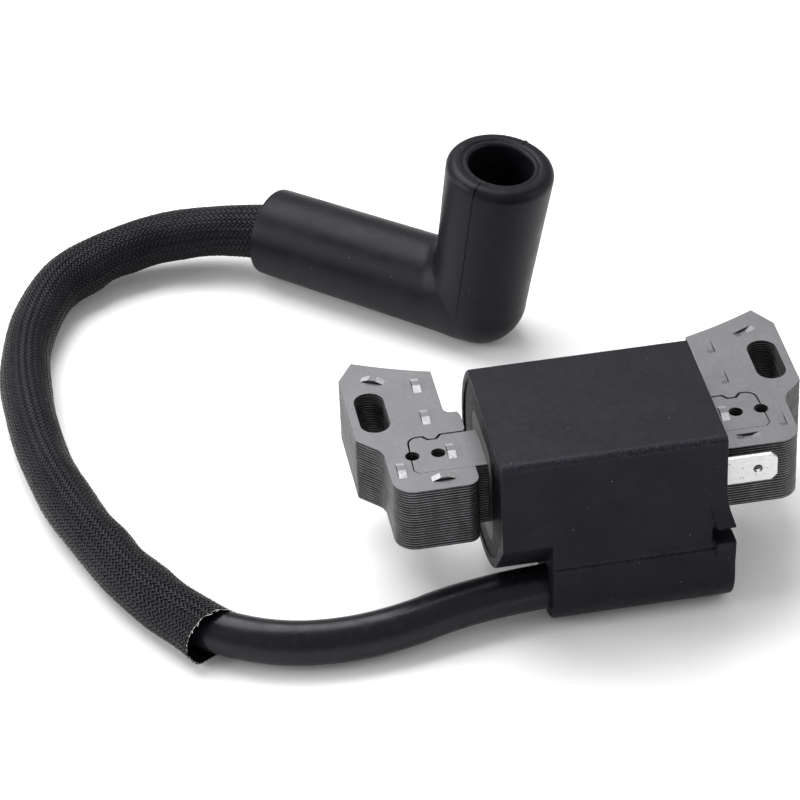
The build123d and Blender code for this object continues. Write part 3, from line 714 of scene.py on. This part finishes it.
ELBOW_SWELL = 0.4 * MM
BLEND_WIDTH = 2.4 * MM
BLEND_RUN = 9 * MM
BLEND_LEAD = 1 * MM
VOXEL = 0.22 * MM
SKIN_REACH = 0.75 * MM
RIM_MARGIN = 2.2 * MM
MOUTH_MARGIN = 1.2 * MM
SLOPE_STEP = 0.01 * MM
LEAST_STEEP = 0.25
SKIN_ROUNDS = 6
SEAM_RADIUS = 0.15 * MM
SEAM_INNER = 6.9 * MM
SEAM_STEP = 0.7 * MM
SEAM_STEPS = 37
SEAM_LOWEST = 0.2 * MM


def barrel_radius(t):
    """The barrel widens from the elbow to its rim."""
    return ELBOW_RADIUS + (RIM_RADIUS - ELBOW_RADIUS) * np.clip(t / BARREL_HEIGHT, 0, 1)


def arm_radius(s):
    """The arm is a little thicker at the elbow than at its mouth."""
    return ARM_RADIUS + ELBOW_SWELL * (1 - np.clip(s / ARM_LENGTH, 0, 1))


def boot_skin(p):
    """How far points are outside the boot's blended skin, up from its elbow and along its arm."""
    from_elbow = p - np.array(ELBOW)
    t = from_elbow @ np.array(BARREL_AXIS)
    across = np.linalg.norm(from_elbow - np.maximum(t, 0)[:, None] * np.array(BARREL_AXIS), axis=1)
    barrel = across - barrel_radius(t)
    from_arm = p - np.array(ARM_ORIGIN)
    s = np.maximum(from_arm @ np.array(ARM_DIRECTION), 0)
    arm = np.linalg.norm(from_arm - s[:, None] * np.array(ARM_DIRECTION), axis=1) - arm_radius(s)
    near = np.maximum(BLEND_WIDTH - np.abs(barrel - arm), 0) / BLEND_WIDTH
    spread = np.clip((s + BLEND_LEAD) / BLEND_RUN, 0, 1)
    return np.minimum(barrel, arm) - near**2 * spread * BLEND_WIDTH / 4, t, s


def skin_slope(p):
    """Which way boot_skin grows fastest at these points, and how fast."""
    steps = SLOPE_STEP * np.eye(3)
    return np.stack([(boot_skin(p + d)[0] - boot_skin(p - d)[0]) / (2 * SLOPE_STEP) for d in steps], 1)


def finished_boot():
    """The boot with its arm and barrel run into each other, as they do in a rubber moulding."""
    holder = bpy.data.objects.new("boot_source", frame["nodes"]["spark_plug_boot"].data.copy())
    bpy.context.scene.collection.objects.link(holder)
    remesh = holder.modifiers.new("remesh", "REMESH")
    remesh.mode = "VOXEL"
    remesh.voxel_size = VOXEL
    bpy.context.view_layer.update()
    mesh = bpy.data.meshes.new_from_object(holder.evaluated_get(bpy.context.evaluated_depsgraph_get()))
    bpy.data.objects.remove(holder)
    p = np.array([v.co for v in mesh.vertices], float)
    for _ in range(SKIN_ROUNDS):
        f, t, s = boot_skin(p)
        outer = (np.abs(f) < SKIN_REACH) & (t < BARREL_HEIGHT - RIM_MARGIN) & (s < ARM_LENGTH - MOUTH_MARGIN)
        slope = skin_slope(p)
        steep = np.maximum((slope**2).sum(axis=1), LEAST_STEEP)
        p[outer] -= (f / steep)[outer, None] * slope[outer]
    p[:, 2] = np.maximum(p[:, 2], FLOOR_GAP)
    mesh.vertices.foreach_set("co", p.ravel())
    mesh.update()
    piece = new_piece("spark_plug_boot_finished", mesh, "boot_rubber", "boot")
    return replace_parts(piece, "spark_plug_boot")


def parting_line():
    """The thin ridge that the mould's two halves leave over the rim, down both sides and under the elbow."""
    sideways = BARREL_AXIS.cross(ARM_DIRECTION).normalized()

    def at(height, out):
        return ELBOW + BARREL_AXIS * height + sideways * out

    def side_line(side):
        points = [at(BARREL_HEIGHT, side * SEAM_INNER)]
        for k in range(7):
            a = math.pi / 2 * (1 - k / 6)
            height = BARREL_HEIGHT - RIM_FILLET * (1 - math.sin(a))
            points.append(at(height, side * (RIM_RADIUS - RIM_FILLET + RIM_FILLET * math.cos(a))))
        heights = [BARREL_HEIGHT - RIM_FILLET - k * SEAM_STEP for k in range(1, SEAM_STEPS + 1)]
        return points + [at(h, side * float(barrel_radius(h))) for h in heights]

    turns = [math.pi * k / 20 for k in range(1, 20)]
    below = [at(-ELBOW_RADIUS * math.sin(a), ELBOW_RADIUS * math.cos(a)) for a in turns]
    return [p for p in side_line(1) + below + side_line(-1)[::-1] if p.z > SEAM_LOWEST]


boot = finished_boot()
seam_mesh = wire_mesh("boot_parting_line", [parting_line()], SEAM_RADIUS)
seam = new_piece("boot_parting_line", seam_mesh, "boot_rubber", "boot")


# ------------------------------------------------------------------ stage

FLOOR_REACH = 3.0
SENSOR_WIDTH = 36
FOCAL_WIDTHS = 4.61225

floor_mesh = bpy.data.meshes.new("floor")
corners = [(x * FLOOR_REACH, y * FLOOR_REACH, 0) for x, y in ((-1, -1), (1, -1), (1, 1), (-1, 1))]
floor_mesh.from_pydata(corners, [], [(0, 1, 2, 3)])
floor = bpy.data.objects.new("floor", floor_mesh)
bpy.context.scene.collection.objects.link(floor)
floor_mesh.materials.append(Shader("floor", (0.92, 0.92, 0.92), 0.6, specular=0.2).material)

world = bpy.data.worlds.new("studio")
bpy.context.scene.world = world
world.use_nodes = True
background = world.node_tree.nodes["Background"]
background.inputs["Color"].default_value = (1, 1, 1, 1)
background.inputs["Strength"].default_value = 0.6


def soft_light(name, place, target, size, power):
    """A panel of light of this width and height in metres, and this power in watts."""
    data = bpy.data.lights.new(name, "AREA")
    data.shape = "RECTANGLE"
    data.size, data.size_y = size
    data.energy = power
    lamp = bpy.data.objects.new(name, data)
    bpy.context.scene.collection.objects.link(lamp)
    lamp.location = place
    lamp.rotation_euler = (Vector(target) - Vector(place)).to_track_quat("-Z", "Y").to_euler()


soft_light("overhead", (-0.15, 0.35, 0.7), (-0.02, 0.02, 0.01), (0.7, 0.5), 7)
soft_light("left_fill", (-0.9, 0.05, 0.35), (-0.02, 0.0, 0.01), (0.5, 0.5), 5)
soft_light("right_fill", (0.8, -0.2, 0.4), (0.0, 0.0, 0.01), (0.5, 0.5), 1.5)

CAMERA_PLACE = Vector((-0.0993, -0.44960, 0.36925))
CAMERA_RIGHT = Vector((0.9831, -0.1800, -0.0335))
CAMERA_BACK = Vector((-0.1251, -0.7941, 0.5948))
camera_data = bpy.data.cameras.new("camera")
camera_data.sensor_width = SENSOR_WIDTH
camera_data.lens = SENSOR_WIDTH * FOCAL_WIDTHS
camera_data.clip_start = 0.01
camera_data.clip_end = 20
camera = bpy.data.objects.new("camera", camera_data)
bpy.context.scene.collection.objects.link(camera)
back = CAMERA_BACK.normalized()
right = (CAMERA_RIGHT - back * CAMERA_RIGHT.dot(back)).normalized()
up = back.cross(right)
camera.matrix_world = Matrix.Translation(CAMERA_PLACE) @ Matrix((right, up, back)).transposed().to_4x4()
bpy.context.scene.camera = camera
bpy.context.scene.view_settings.view_transform = "Standard"
